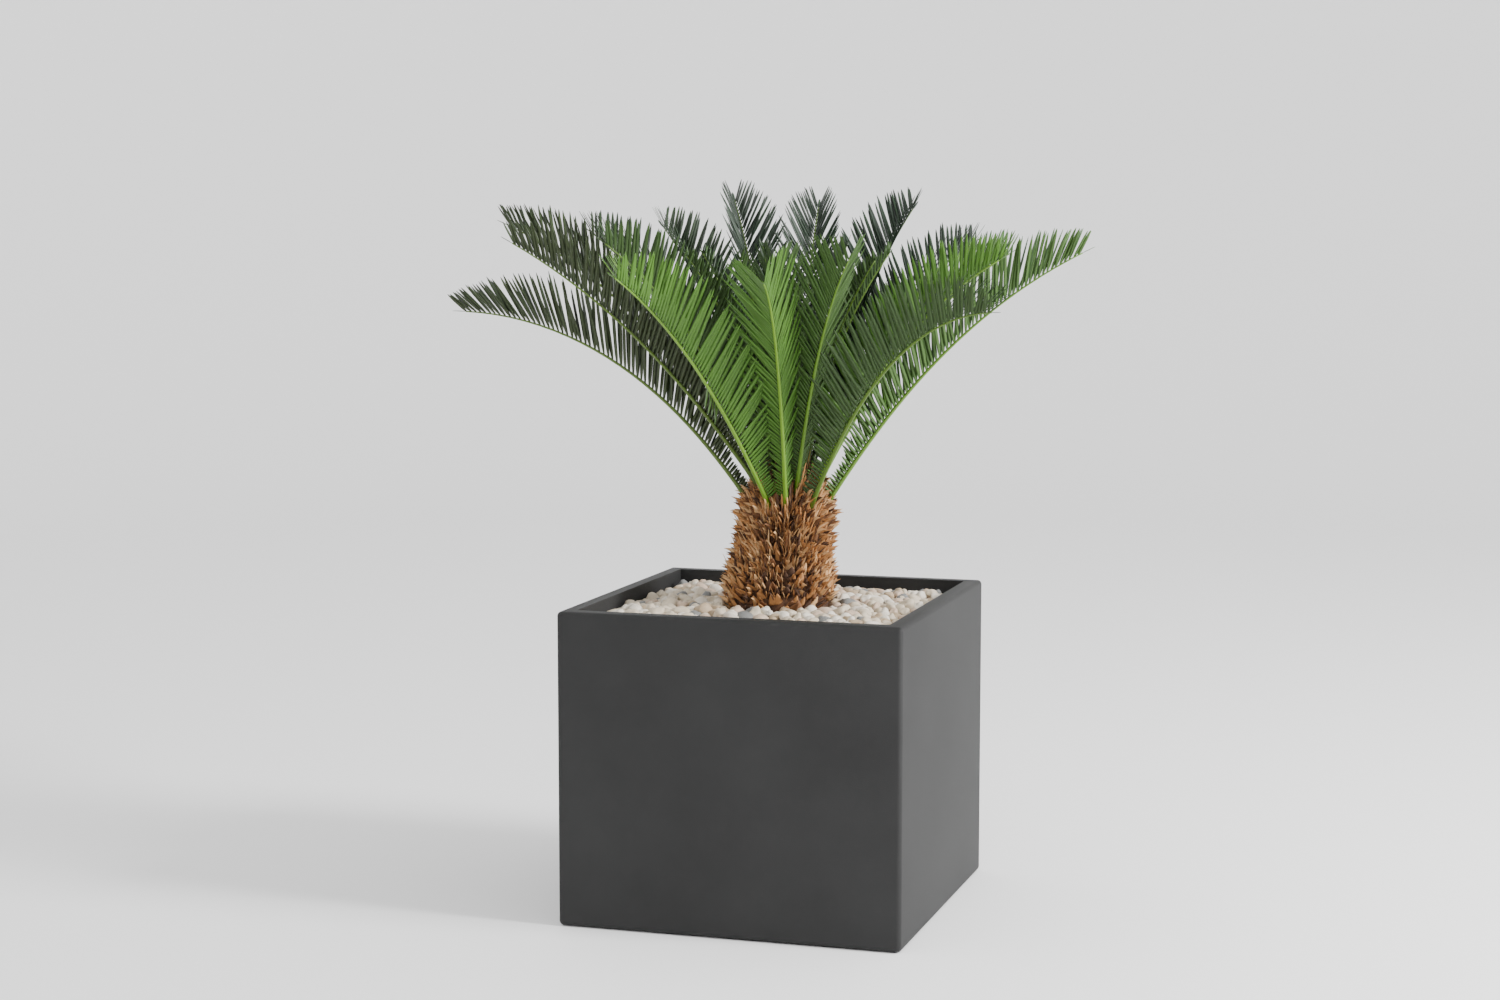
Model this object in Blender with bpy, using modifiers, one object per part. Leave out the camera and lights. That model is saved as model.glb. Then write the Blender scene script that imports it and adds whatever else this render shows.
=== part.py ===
"""A cycad in a square planter: a short shaggy trunk in a bed of pebbles, under a funnel of keeled fronds.

Metres, +Z up. The origin is the middle of the planter's flat underside. The planter's front faces -Y.
"""

import math
from collections import namedtuple

import bmesh
import bpy
from mathutils import Vector

# Planter
PLANTER_SIDE = 0.600
PLANTER_HEIGHT = 0.540
RIM_WIDTH = 0.028
FLOOR_THICKNESS = 0.025
EDGE_RADIUS = 0.008
DRAIN_RADIUS = 0.010
DRAIN_SPACING = 0.300

# What fills it, from the floor up
SOIL_TOP = 0.470
BED_TOP_AT_WALL = 0.516
BED_TOP_AT_TRUNK = 0.530

# Fit between pieces that touch
SEAT_GAP = 0.0003

# Trunk: (height above the planter's underside, radius), leaning a little towards +X
TRUNK_PROFILE = (
    (SOIL_TOP + SEAT_GAP, 0.101),
    (0.545, 0.100),
    (0.570, 0.096),
    (0.600, 0.086),
    (0.640, 0.079),
    (0.680, 0.077),
    (0.705, 0.070),
    (0.725, 0.056),
    (0.740, 0.037),
    (0.749, 0.015),
)
TRUNK_TIP = 0.751
TRUNK_STEPS = 24
TRUNK_LEAN = Vector((0.016, 0.005))
LEAN_HEIGHT = 0.170

# Woolly bud in the middle of the crown
BUD_RADIUS = 0.022
BUD_HEIGHT = 0.085
BUD_SINK = 0.012

# Frond blades
CROWN_CENTRE = Vector((0.018, 0.006, 0))
BLADE_THICKNESS = 0.003
STATIONS = 10
DROOP_POWER = 1.5
STALK_HALF_WIDTH = 0.0045
STALK_SHARE = 0.09

# Leaflets: longest from this share of the rachis on, shorter again towards the tip
LONGEST_FROM = 0.33
GROWTH_POWER = 0.8
SHORTER_FROM = 0.65
TIP_SHORTENING = 0.62
UPWARD_PULL = 0.15
LEAFLET_ANGLES = ((STALK_SHARE, 85), (0.35, 62), (0.70, 55), (1.00, 38))

# Degrees between one half of a blade and its keel plane: it folds up where the neighbours leave little room
WIDEST_FOLD = 40
TIGHTEST_FOLD = 4
FOLD_STEP = 2
WIDEST_SLICE = 45
BLADE_MARGIN = 0.0025

# A tier's foot is a ring on the trunk's crown, and its reach is its longest leaflet.
# Fronds whose rises differ by less than beside_rise share the room round the crown.
Tier = namedtuple("Tier", "name foot_radius foot_height reach beside_rise")
OUTER = Tier("outer", 0.066, 0.700, 0.118, 9)
MIDDLE = Tier("middle", 0.048, 0.722, 0.114, 9)
INNER = Tier("inner", 0.026, 0.738, 0.050, 30)

# Azimuth from +X, rise at the foot, droop by the tip and roll about the rachis in degrees, with the length
Frond = namedtuple("Frond", "azimuth rise droop length roll", defaults=(0,))
OUTER_FRONDS = (
    Frond(5, 57, 31, 0.630),
    Frond(85, 52, 36, 0.570),
    Frond(110, 50, 36, 0.570),
    Frond(135, 52, 36, 0.580),
    Frond(200, 55, 53, 0.620),
    Frond(257, 50, 26, 0.640),
    Frond(282, 62, 52, 0.620, roll=18),
    Frond(321, 57, 55, 0.630),
)
MIDDLE_FRONDS = (
    Frond(30, 62, 32, 0.550),
    Frond(51, 62, 30, 0.560),
    Frond(71, 65, 26, 0.605),
    Frond(98, 67, 26, 0.595),
    Frond(122, 67, 26, 0.610),
    Frond(144, 65, 28, 0.570),
    Frond(165, 62, 30, 0.590),
    Frond(186, 59, 35, 0.660),
    Frond(217, 54, 25, 0.628),
    Frond(241, 62, 32, 0.580),
    Frond(282, 75, 34, 0.460),
    Frond(301, 65, 36, 0.540),
    Frond(342, 61, 34, 0.560),
)
INNER_FRONDS = (
    Frond(30, 79, 26, 0.430),
    Frond(71, 80, 26, 0.440),
    Frond(122, 80, 26, 0.440),
    Frond(165, 79, 26, 0.430),
    Frond(217, 78, 26, 0.430),
    Frond(257, 80, 26, 0.420),
    Frond(342, 79, 26, 0.420),
)


def clear_scene():
    for obj in list(bpy.data.objects):
        bpy.data.objects.remove(obj, do_unlink=True)


def new_collection(name):
    collection = bpy.data.collections.new(name)
    bpy.context.scene.collection.children.link(collection)
    return collection


def material(name, colour, roughness):
    made = bpy.data.materials.new(name)
    made.use_nodes = True
    made.diffuse_color = (*colour, 1)
    shader = made.node_tree.nodes["Principled BSDF"]
    shader.inputs["Base Color"].default_value = (*colour, 1)
    shader.inputs["Roughness"].default_value = roughness
    shader.inputs["Metallic"].default_value = 0
    return made


def object_from_bmesh(name, mesh_edit, collection, finish=None):
    mesh = bpy.data.meshes.new(name)
    bmesh.ops.recalc_face_normals(mesh_edit, faces=mesh_edit.faces)
    mesh_edit.to_mesh(mesh)
    mesh_edit.free()
    obj = bpy.data.objects.new(name, mesh)
    collection.objects.link(obj)
    if finish:
        mesh.materials.append(finish)
    return obj


def box(name, side, bottom, top, collection, finish=None):
    """An upright square block, centred on the origin in plan."""
    mesh_edit = bmesh.new()
    bmesh.ops.create_cube(mesh_edit, size=1)
    bmesh.ops.scale(mesh_edit, vec=(side, side, top - bottom), verts=mesh_edit.verts)
    bmesh.ops.translate(mesh_edit, vec=(0, 0, (top + bottom) / 2), verts=mesh_edit.verts)
    return object_from_bmesh(name, mesh_edit, collection, finish)


def as_cutter(obj):
    obj.hide_render = True
    obj.display_type = "WIRE"
    return obj


def cut(obj, cutter):
    modifier = obj.modifiers.new("cut by " + cutter.name, "BOOLEAN")
    modifier.operation = "DIFFERENCE"
    modifier.solver = "EXACT"
    modifier.object = cutter


def lean_at(height):
    """How far the trunk's middle has moved over at this height."""
    share = max(0.0, (height - BED_TOP_AT_TRUNK) / LEAN_HEIGHT)
    return TRUNK_LEAN * share


def turned_trunk(name, swell, collection, finish=None):
    """The trunk's profile turned about its axis, then sheared by its lean. Swollen, it cuts the trunk's seat."""
    mesh_edit = bmesh.new()
    (foot_height, foot_radius), *flank = TRUNK_PROFILE
    foot_height -= 4 * swell
    profile = [(0, TRUNK_TIP + swell)]
    profile += [(radius + swell, height + swell) for height, radius in reversed(flank)]
    profile += [(foot_radius + swell, foot_height), (0, foot_height)]
    points = [mesh_edit.verts.new((radius, 0, height)) for radius, height in profile]
    for upper, lower in zip(points, points[1:]):
        mesh_edit.edges.new((upper, lower))
    mesh = bpy.data.meshes.new(name + " profile")
    mesh_edit.to_mesh(mesh)
    mesh_edit.free()
    turned = bpy.data.objects.new(name + " profile", mesh)
    collection.objects.link(turned)
    screw = turned.modifiers.new("turn", "SCREW")
    screw.steps = screw.render_steps = TRUNK_STEPS
    screw.use_merge_vertices = True
    screw.merge_threshold = 0.0001
    bpy.context.view_layer.update()
    graph = bpy.context.evaluated_depsgraph_get()
    leaning = bpy.data.meshes.new_from_object(turned.evaluated_get(graph))
    bpy.data.objects.remove(turned, do_unlink=True)
    for vertex in leaning.vertices:
        over = lean_at(vertex.co.z)
        vertex.co.x += over.x
        vertex.co.y += over.y
    leaning.shade_smooth()
    obj = bpy.data.objects.new(name, leaning)
    collection.objects.link(obj)
    if finish:
        leaning.materials.append(finish)
    return obj


def make_planter(collection, cutters, finish):
    """A cast box with a thick flat rim, rounded outer edges and four drain holes in its floor."""
    planter = box("planter", PLANTER_SIDE, 0, PLANTER_HEIGHT, collection, finish)
    rounding = planter.modifiers.new("rounded edges", "BEVEL")
    rounding.width = EDGE_RADIUS
    rounding.segments = 2
    inside = PLANTER_SIDE - 2 * RIM_WIDTH
    above = PLANTER_HEIGHT + RIM_WIDTH
    hollow = as_cutter(box("planter hollow", inside, FLOOR_THICKNESS, above, cutters))
    cut(planter, hollow)
    for side_x in (-1, 1):
        for side_y in (-1, 1):
            mesh_edit = bmesh.new()
            bmesh.ops.create_cone(
                mesh_edit,
                cap_ends=True,
                segments=16,
                radius1=DRAIN_RADIUS,
                radius2=DRAIN_RADIUS,
                depth=4 * FLOOR_THICKNESS,
            )
            place = Vector((side_x, side_y, 0)) * DRAIN_SPACING / 2
            bmesh.ops.translate(mesh_edit, vec=place, verts=mesh_edit.verts)
            drain = as_cutter(object_from_bmesh("drain hole", mesh_edit, cutters))
            cut(planter, drain)


def make_soil(collection, finish):
    side = PLANTER_SIDE - 2 * (RIM_WIDTH + SEAT_GAP)
    box("growing_medium", side, FLOOR_THICKNESS + SEAT_GAP, SOIL_TOP, collection, finish)


def make_pebble_bed(collection, trunk_cutter, finish):
    """A shallow layer that rises from the planter's walls to the trunk, which stands in a hole through it."""
    side = PLANTER_SIDE - 2 * (RIM_WIDTH + SEAT_GAP)
    mesh_edit = bmesh.new()
    bmesh.ops.create_grid(mesh_edit, x_segments=8, y_segments=8, size=side / 2)
    for vertex in mesh_edit.verts:
        out = min(1.0, 2 * max(abs(vertex.co.x), abs(vertex.co.y)) / side)
        vertex.co.z = BED_TOP_AT_TRUNK + (BED_TOP_AT_WALL - BED_TOP_AT_TRUNK) * out**2
    skin = bmesh.ops.extrude_face_region(mesh_edit, geom=list(mesh_edit.faces))
    for element in skin["geom"]:
        if isinstance(element, bmesh.types.BMVert):
            element.co.z = SOIL_TOP + SEAT_GAP
    bed = object_from_bmesh("pebble_bed", mesh_edit, collection, finish)
    cut(bed, trunk_cutter)


def make_bud(collection, trunk_cutter, finish):
    """An egg-shaped cluster of scales, seated on the trunk's tip."""
    middle = lean_at(TRUNK_TIP)
    mesh_edit = bmesh.new()
    bmesh.ops.create_uvsphere(mesh_edit, u_segments=12, v_segments=8, radius=1)
    scale = (BUD_RADIUS, BUD_RADIUS, BUD_HEIGHT / 2)
    bmesh.ops.scale(mesh_edit, vec=scale, verts=mesh_edit.verts)
    centre_height = TRUNK_TIP - BUD_SINK + BUD_HEIGHT / 2
    bmesh.ops.translate(mesh_edit, vec=(middle.x, middle.y, centre_height), verts=mesh_edit.verts)
    bud = object_from_bmesh("crown_bud", mesh_edit, collection, finish)
    bud.data.shade_smooth()
    cut(bud, trunk_cutter)


def leaflet_length(share, tier):
    """A leaflet's length at this share of the rachis: none on the stalk, most in the middle, less at the tip."""
    grown = min(1, max(0, (share - STALK_SHARE) / (LONGEST_FROM - STALK_SHARE)))
    passed = max(0, (share - SHORTER_FROM) / (1 - SHORTER_FROM))
    return tier.reach * grown**GROWTH_POWER * (1 - TIP_SHORTENING * passed**2)


def leaflet_angle(share):
    """The angle between a leaflet and the rachis: square at the foot, swept forward at the tip."""
    for (start, before), (end, after) in zip(LEAFLET_ANGLES, LEAFLET_ANGLES[1:]):
        if share <= end:
            break
    passed = max(0.0, (share - start) / (end - start))
    return math.radians(before + (after - before) * passed)


def rachis(frond, tier, steps=48):
    """Points and headings along the rachis, which leaves the crown at its rise and bends down ever faster."""
    azimuth = math.radians(frond.azimuth)
    outward = Vector((math.cos(azimuth), math.sin(azimuth), 0))
    up = Vector((0, 0, 1))
    point = CROWN_CENTRE + outward * tier.foot_radius + up * tier.foot_height
    track = []
    for step in range(steps + 1):
        share = step / steps
        climb = math.radians(frond.rise - frond.droop * share**DROOP_POWER)
        along = outward * math.cos(climb) + up * math.sin(climb)
        track.append((point.copy(), along))
        point += along * (frond.length / steps)
    return track, outward


def slice_beside(frond, side, beside):
    """The angle from this frond to halfway to the next one beside it. Side 1 is clockwise from above."""
    gaps = [side * (frond.azimuth - other.azimuth) % 360 for other in beside]
    return math.radians(min([gap / 2 for gap in gaps] + [WIDEST_SLICE]))


def blade_edge(station, share, side, outward, tier, slice_angle, roll):
    """Where a station's leaflets end. The V folds up, then shortens, to stay in the frond's slice."""
    point, along = station
    across = side * outward.cross(Vector((0, 0, 1)))
    keel_up = side * across.cross(along)
    angle = leaflet_angle(share)
    start = point + across * STALK_HALF_WIDTH
    folds = [(fold, 1) for fold in range(WIDEST_FOLD, TIGHTEST_FOLD, -FOLD_STEP)]
    folds += [(TIGHTEST_FOLD, tenths / 10) for tenths in range(10, -1, -1)]
    for fold, shortening in folds:
        lean = math.radians(fold + side * roll)
        spread = keel_up * math.cos(lean) + across * math.sin(lean)
        heading = along * math.cos(angle) + spread * math.sin(angle) + Vector((0, 0, UPWARD_PULL))
        edge = start + heading.normalized() * leaflet_length(share, tier) * shortening
        from_axis = edge - CROWN_CENTRE
        room = from_axis.dot(outward) * math.tan(slice_angle) - BLADE_MARGIN
        if from_axis.dot(across) <= room:
            break
    return edge


def make_frond(name, frond, tier, beside, collection, trunk_cutter, finish):
    """A keeled blade in the frond's outline: a narrow stalk, then two halves that rise in a V."""
    track, outward = rachis(frond, tier)
    mesh_edit = bmesh.new()
    bmesh.ops.create_grid(mesh_edit, x_segments=2, y_segments=STATIONS - 1, size=1)
    for vertex in mesh_edit.verts:
        side = round(vertex.co.x)
        share = (vertex.co.y + 1) / 2
        station = track[round(share * (len(track) - 1))]
        if side == 0:
            vertex.co = station[0]
        else:
            slice_angle = slice_beside(frond, side, beside)
            vertex.co = blade_edge(station, share, side, outward, tier, slice_angle, frond.roll)
    blade = object_from_bmesh(name, mesh_edit, collection, finish)
    wall = blade.modifiers.new("thickness", "SOLIDIFY")
    wall.thickness = BLADE_THICKNESS
    wall.offset = 0
    wall.use_even_offset = True
    cut(blade, trunk_cutter)


def make_crown(collection, trunk_cutter, finish):
    tiers = ((OUTER, OUTER_FRONDS), (MIDDLE, MIDDLE_FRONDS), (INNER, INNER_FRONDS))
    everyone = [frond for _, fronds in tiers for frond in fronds]
    for tier, fronds in tiers:
        for number, frond in enumerate(fronds, start=1):
            beside = [
                other
                for other in everyone
                if other.azimuth != frond.azimuth
                and (other in fronds or abs(other.rise - frond.rise) < tier.beside_rise)
            ]
            name = f"{tier.name}_frond_{number:02d}"
            make_frond(name, frond, tier, beside, collection, trunk_cutter, finish)


def make_all():
    clear_scene()
    parts = new_collection("potted cycad")
    cutters = new_collection("cutters")
    stone_grey = material("planter stone", (0.045, 0.046, 0.047), 0.62)
    earth = material("growing medium", (0.030, 0.020, 0.014), 0.95)
    pebble = material("pebbles", (0.600, 0.540, 0.460), 0.75)
    bark = material("leaf bases", (0.230, 0.120, 0.060), 0.90)
    wool = material("bud wool", (0.330, 0.200, 0.100), 0.95)
    leaf = material("frond", (0.050, 0.130, 0.025), 0.45)
    trunk_cutter = as_cutter(turned_trunk("trunk clearance", SEAT_GAP, cutters))
    make_planter(parts, cutters, stone_grey)
    make_soil(parts, earth)
    make_pebble_bed(parts, trunk_cutter, pebble)
    turned_trunk("trunk", 0, parts, bark)
    make_bud(parts, trunk_cutter, wool)
    make_crown(parts, trunk_cutter, leaf)


make_all()
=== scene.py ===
"""The looks of a potted cycad: a square planter, its pebbles, a shaggy trunk and a crown of feather fronds.

Metres, +Z up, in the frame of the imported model, whose origin is the middle of the planter's underside.
"""

import math
from collections import namedtuple

import bmesh
import bpy
import numpy as np
from mathutils import Matrix, Vector, noise


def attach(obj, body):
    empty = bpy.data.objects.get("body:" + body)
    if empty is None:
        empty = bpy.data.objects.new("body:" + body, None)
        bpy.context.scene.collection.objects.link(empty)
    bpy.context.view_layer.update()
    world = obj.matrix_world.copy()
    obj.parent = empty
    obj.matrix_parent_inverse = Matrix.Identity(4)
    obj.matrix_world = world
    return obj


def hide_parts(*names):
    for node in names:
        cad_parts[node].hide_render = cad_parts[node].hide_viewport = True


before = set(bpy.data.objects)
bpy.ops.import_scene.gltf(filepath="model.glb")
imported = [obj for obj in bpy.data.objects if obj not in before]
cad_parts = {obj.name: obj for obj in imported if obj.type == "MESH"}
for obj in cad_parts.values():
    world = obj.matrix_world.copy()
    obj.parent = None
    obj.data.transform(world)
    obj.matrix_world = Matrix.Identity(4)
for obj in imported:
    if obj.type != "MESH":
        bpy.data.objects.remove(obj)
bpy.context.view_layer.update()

# Camera
# It stands well above the planter's rim and to the right of its front, 4.7 m from the trunk.
# Its lens gives the perspective that the planter's own edges show.
camera_data = bpy.data.cameras.new("camera")
camera_data.sensor_width = 36
camera_data.lens = 65.45
camera = bpy.data.objects.new("camera", camera_data)
camera.location = (1.357, -4.538, 1.222)
camera.rotation_euler = (math.radians(83.8), 0, math.radians(17.24))
bpy.context.scene.collection.objects.link(camera)
bpy.context.scene.camera = camera

# Planter
# A box cast in fibre cement and left matt, charcoal grey, with a flat rim and edges rounded by the mould.
# It is a bevelled box with its hollow and its drain holes cut out.
# Its finish has faint clouds and the fine pores of the cast.
planter_side = 0.600
planter_height = 0.540
rim_width = 0.028
floor_thickness = 0.025
outer_rounding = 0.008
outer_rounding_steps = 5
drain_radius = 0.010
drain_spacing = 0.300
drain_sides = 24
drain_cutter_height = 4 * floor_thickness
sharpest_smooth_edge = math.radians(35)
cloud_range = (0.32, 0.68)
cloud_detail = 6
grain_detail = 3
grain_depth = 0.0006


def srgb(red, green, blue):
    """A colour given as 0 to 255 on a screen, as linear light with alpha."""
    linear = [
        value / 255 / 12.92 if value <= 10 else ((value / 255 + 0.055) / 1.055) ** 2.4
        for value in (red, green, blue)
    ]
    return (*linear, 1)


def plain_finish(name, colour, roughness):
    finish = bpy.data.materials.new(name)
    finish.use_nodes = True
    shader = finish.node_tree.nodes["Principled BSDF"]
    shader.inputs["Base Color"].default_value = colour
    shader.inputs["Roughness"].default_value = roughness
    finish.diffuse_color = colour
    return finish


def cloud_and_grain_group():
    """Broad clouds and a fine grain, each as a value from 0 to 1."""
    group = bpy.data.node_groups.new("clouds and grain", "ShaderNodeTree")
    group.interface.new_socket("Vector", in_out="INPUT", socket_type="NodeSocketVector")
    for name in ("Cloud Scale", "Cloud Detail", "Grain Scale", "Grain Detail"):
        group.interface.new_socket(name, in_out="INPUT", socket_type="NodeSocketFloat")
    group.interface.new_socket("Clouds", in_out="OUTPUT", socket_type="NodeSocketFloat")
    group.interface.new_socket("Grain", in_out="OUTPUT", socket_type="NodeSocketFloat")
    links = group.links
    given = group.nodes.new("NodeGroupInput")
    result = group.nodes.new("NodeGroupOutput")
    for texture, output in (("Cloud", "Clouds"), ("Grain", "Grain")):
        pattern = group.nodes.new("ShaderNodeTexNoise")
        links.new(given.outputs["Vector"], pattern.inputs["Vector"])
        links.new(given.outputs[f"{texture} Scale"], pattern.inputs["Scale"])
        links.new(given.outputs[f"{texture} Detail"], pattern.inputs["Detail"])
        links.new(pattern.outputs["Fac"], result.inputs[output])
    return group


clouds_and_grain = cloud_and_grain_group()


def clouded_finish(name, low, high, cloud_scale, grain_scale, relief, roughness):
    """A finish whose colour drifts between two shades and whose grain stands up as fine relief."""
    finish = plain_finish(name, high, roughness[1])
    nodes = finish.node_tree.nodes
    links = finish.node_tree.links
    shader = nodes["Principled BSDF"]
    place = nodes.new("ShaderNodeTexCoord")
    pattern = nodes.new("ShaderNodeGroup")
    pattern.node_tree = clouds_and_grain
    pattern.inputs["Cloud Scale"].default_value = cloud_scale
    pattern.inputs["Cloud Detail"].default_value = cloud_detail
    pattern.inputs["Grain Scale"].default_value = grain_scale
    pattern.inputs["Grain Detail"].default_value = grain_detail
    links.new(place.outputs["Object"], pattern.inputs["Vector"])
    shades = nodes.new("ShaderNodeValToRGB")
    for stop, position, shade in zip(shades.color_ramp.elements, cloud_range, (low, high)):
        stop.position = position
        stop.color = shade
    links.new(pattern.outputs["Clouds"], shades.inputs["Fac"])
    links.new(shades.outputs["Color"], shader.inputs["Base Color"])
    rough = nodes.new("ShaderNodeMapRange")
    rough.inputs["To Min"].default_value = roughness[0]
    rough.inputs["To Max"].default_value = roughness[1]
    links.new(pattern.outputs["Grain"], rough.inputs["Value"])
    links.new(rough.outputs["Result"], shader.inputs["Roughness"])
    bump = nodes.new("ShaderNodeBump")
    bump.inputs["Strength"].default_value = relief
    bump.inputs["Distance"].default_value = grain_depth
    links.new(pattern.outputs["Grain"], bump.inputs["Height"])
    links.new(bump.outputs["Normal"], shader.inputs["Normal"])
    return finish


def in_scene(name, data):
    obj = bpy.data.objects.new(name, data)
    bpy.context.scene.collection.objects.link(obj)
    return obj


def from_bmesh(name, mesh_edit, *finishes):
    mesh = bpy.data.meshes.new(name)
    mesh_edit.to_mesh(mesh)
    mesh_edit.free()
    for finish in finishes:
        mesh.materials.append(finish)
    return in_scene(name, mesh)


def applied(obj, name):
    """A plain mesh object of what the modifiers make. The object itself is removed."""
    bpy.context.view_layer.update()
    evaluated = obj.evaluated_get(bpy.context.evaluated_depsgraph_get())
    mesh = bpy.data.meshes.new_from_object(evaluated)
    mesh.name = name
    bpy.data.objects.remove(obj, do_unlink=True)
    return in_scene(name, mesh)


def keep(obj, node):
    """The finished piece rides on the plant's one body and stands in for its node, whose imported part is
    hidden.
    """
    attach(obj, "root")
    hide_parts(node)


def block(name, side, bottom, top):
    mesh_edit = bmesh.new()
    bmesh.ops.create_cube(mesh_edit, size=1)
    bmesh.ops.scale(mesh_edit, vec=(side, side, top - bottom), verts=mesh_edit.verts)
    bmesh.ops.translate(mesh_edit, vec=(0, 0, (top + bottom) / 2), verts=mesh_edit.verts)
    return from_bmesh(name, mesh_edit)


def drain_cutter(x, y):
    mesh_edit = bmesh.new()
    bmesh.ops.create_cone(
        mesh_edit,
        cap_ends=True,
        segments=drain_sides,
        radius1=drain_radius,
        radius2=drain_radius,
        depth=drain_cutter_height,
        matrix=Matrix.Translation((x, y, 0)),
    )
    return from_bmesh("drain", mesh_edit)


planter = block("planter_shell", planter_side, 0, planter_height)
outer_edges = planter.modifiers.new("outer edges", "BEVEL")
outer_edges.width = outer_rounding
outer_edges.segments = outer_rounding_steps
cutters = [block("hollow", planter_side - 2 * rim_width, floor_thickness, planter_height + rim_width)]
for x in (-drain_spacing / 2, drain_spacing / 2):
    for y in (-drain_spacing / 2, drain_spacing / 2):
        cutters.append(drain_cutter(x, y))
for cutter in cutters:
    cut = planter.modifiers.new("cut", "BOOLEAN")
    cut.operation = "DIFFERENCE"
    cut.solver = "EXACT"
    cut.object = cutter
planter = applied(planter, "planter_shell")
for cutter in cutters:
    bpy.data.objects.remove(cutter, do_unlink=True)
charcoal_cast = clouded_finish(
    "charcoal cast",
    low=srgb(30, 30, 30),
    high=srgb(37, 37, 37),
    cloud_scale=5,
    grain_scale=700,
    relief=0.25,
    roughness=(0.55, 0.75),
)
charcoal_cast.node_tree.nodes["Principled BSDF"].inputs["Specular IOR Level"].default_value = 0.3
planter.data.materials.clear()
planter.data.materials.append(charcoal_cast)
planter.data.shade_smooth()
planter.data.set_sharp_from_angle(angle=sharpest_smooth_edge)
keep(planter, "planter")

# Growing medium
# The moist bark potting medium that fills the planter up to the pebbles.
# It keeps the shape of its solid, and takes an earth brown finish with a coarse grain.
potting_medium = clouded_finish(
    "potting medium",
    low=srgb(30, 22, 16),
    high=srgb(62, 46, 32),
    cloud_scale=60,
    grain_scale=500,
    relief=0.8,
    roughness=(0.85, 0.98),
)
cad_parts["growing_medium"].data.materials.clear()
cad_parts["growing_medium"].data.materials.append(potting_medium)

# Pebbles
# Tumbled stones about 24 mm across, mostly cream and white, with a few grey, pink and sand ones.
# Two loose layers lie on a packed bed that rises from the planter's walls to the trunk.
soil_top = 0.470
bed_top_at_wall = 0.516
bed_top_at_trunk = 0.530
seat_gap = 0.0003
pebble_radius = 0.0132
pebble_radius_range = (0.66, 1.16)
pebble_spacing = 0.0235
honeycomb_row = 0.866
pebble_shift = 0.0022
pebble_rise = 0.0028
pebble_sink = 0.45
wall_clearance = 1.05
trunk_clearance = 0.098
under_layer_sink = 0.009
pebble_tilt = 0.35
pebble_shape_count = 6
pebble_stretch = ((0.95, 1.25), (0.8, 1.0), (0.65, 0.85))
broad_lump_height = 0.42
broad_lump_scale = 0.9
small_lump_height = 0.16
small_lump_scale = 2.3
lump_shift = 50
top_stone_subdivisions = 3
under_stone_subdivisions = 2
under_stone_seed = 20
bed_core_squares = 12
bed_core_sink = 1.5 * pebble_radius


def bed_top(x, y):
    out = min(1, 2 * max(abs(x), abs(y)) / (planter_side - 2 * rim_width))
    return bed_top_at_trunk + (bed_top_at_wall - bed_top_at_trunk) * out**2


def pebble_shape(name, seed, subdivisions):
    """A lumpy, slightly flattened stone about 2 units across."""
    draw = np.random.default_rng(seed)
    mesh_edit = bmesh.new()
    bmesh.ops.create_icosphere(mesh_edit, subdivisions=subdivisions, radius=1)
    stretch = Vector([draw.uniform(*span) for span in pebble_stretch])
    shift = Vector(draw.uniform(-lump_shift, lump_shift, 3))
    for vertex in mesh_edit.verts:
        broad_lump = broad_lump_height * noise.noise(vertex.co * broad_lump_scale + shift)
        small_lump = small_lump_height * noise.noise(vertex.co * small_lump_scale - shift)
        vertex.co = vertex.co * (1 + broad_lump + small_lump) * stretch
    shape = from_bmesh(name, mesh_edit)
    shape.data.shade_smooth()
    return shape


def shape_set(name, shapes):
    """A collection of shapes that is kept out of the scene."""
    collection = bpy.data.collections.new(name)
    for shape in shapes:
        bpy.context.scene.collection.objects.unlink(shape)
        collection.objects.link(shape)
    return collection


def point_attribute(tree, name, kind):
    node = tree.nodes.new("GeometryNodeInputNamedAttribute")
    node.data_type = kind
    node.inputs["Name"].default_value = name
    return node.outputs["Attribute"]


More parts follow.
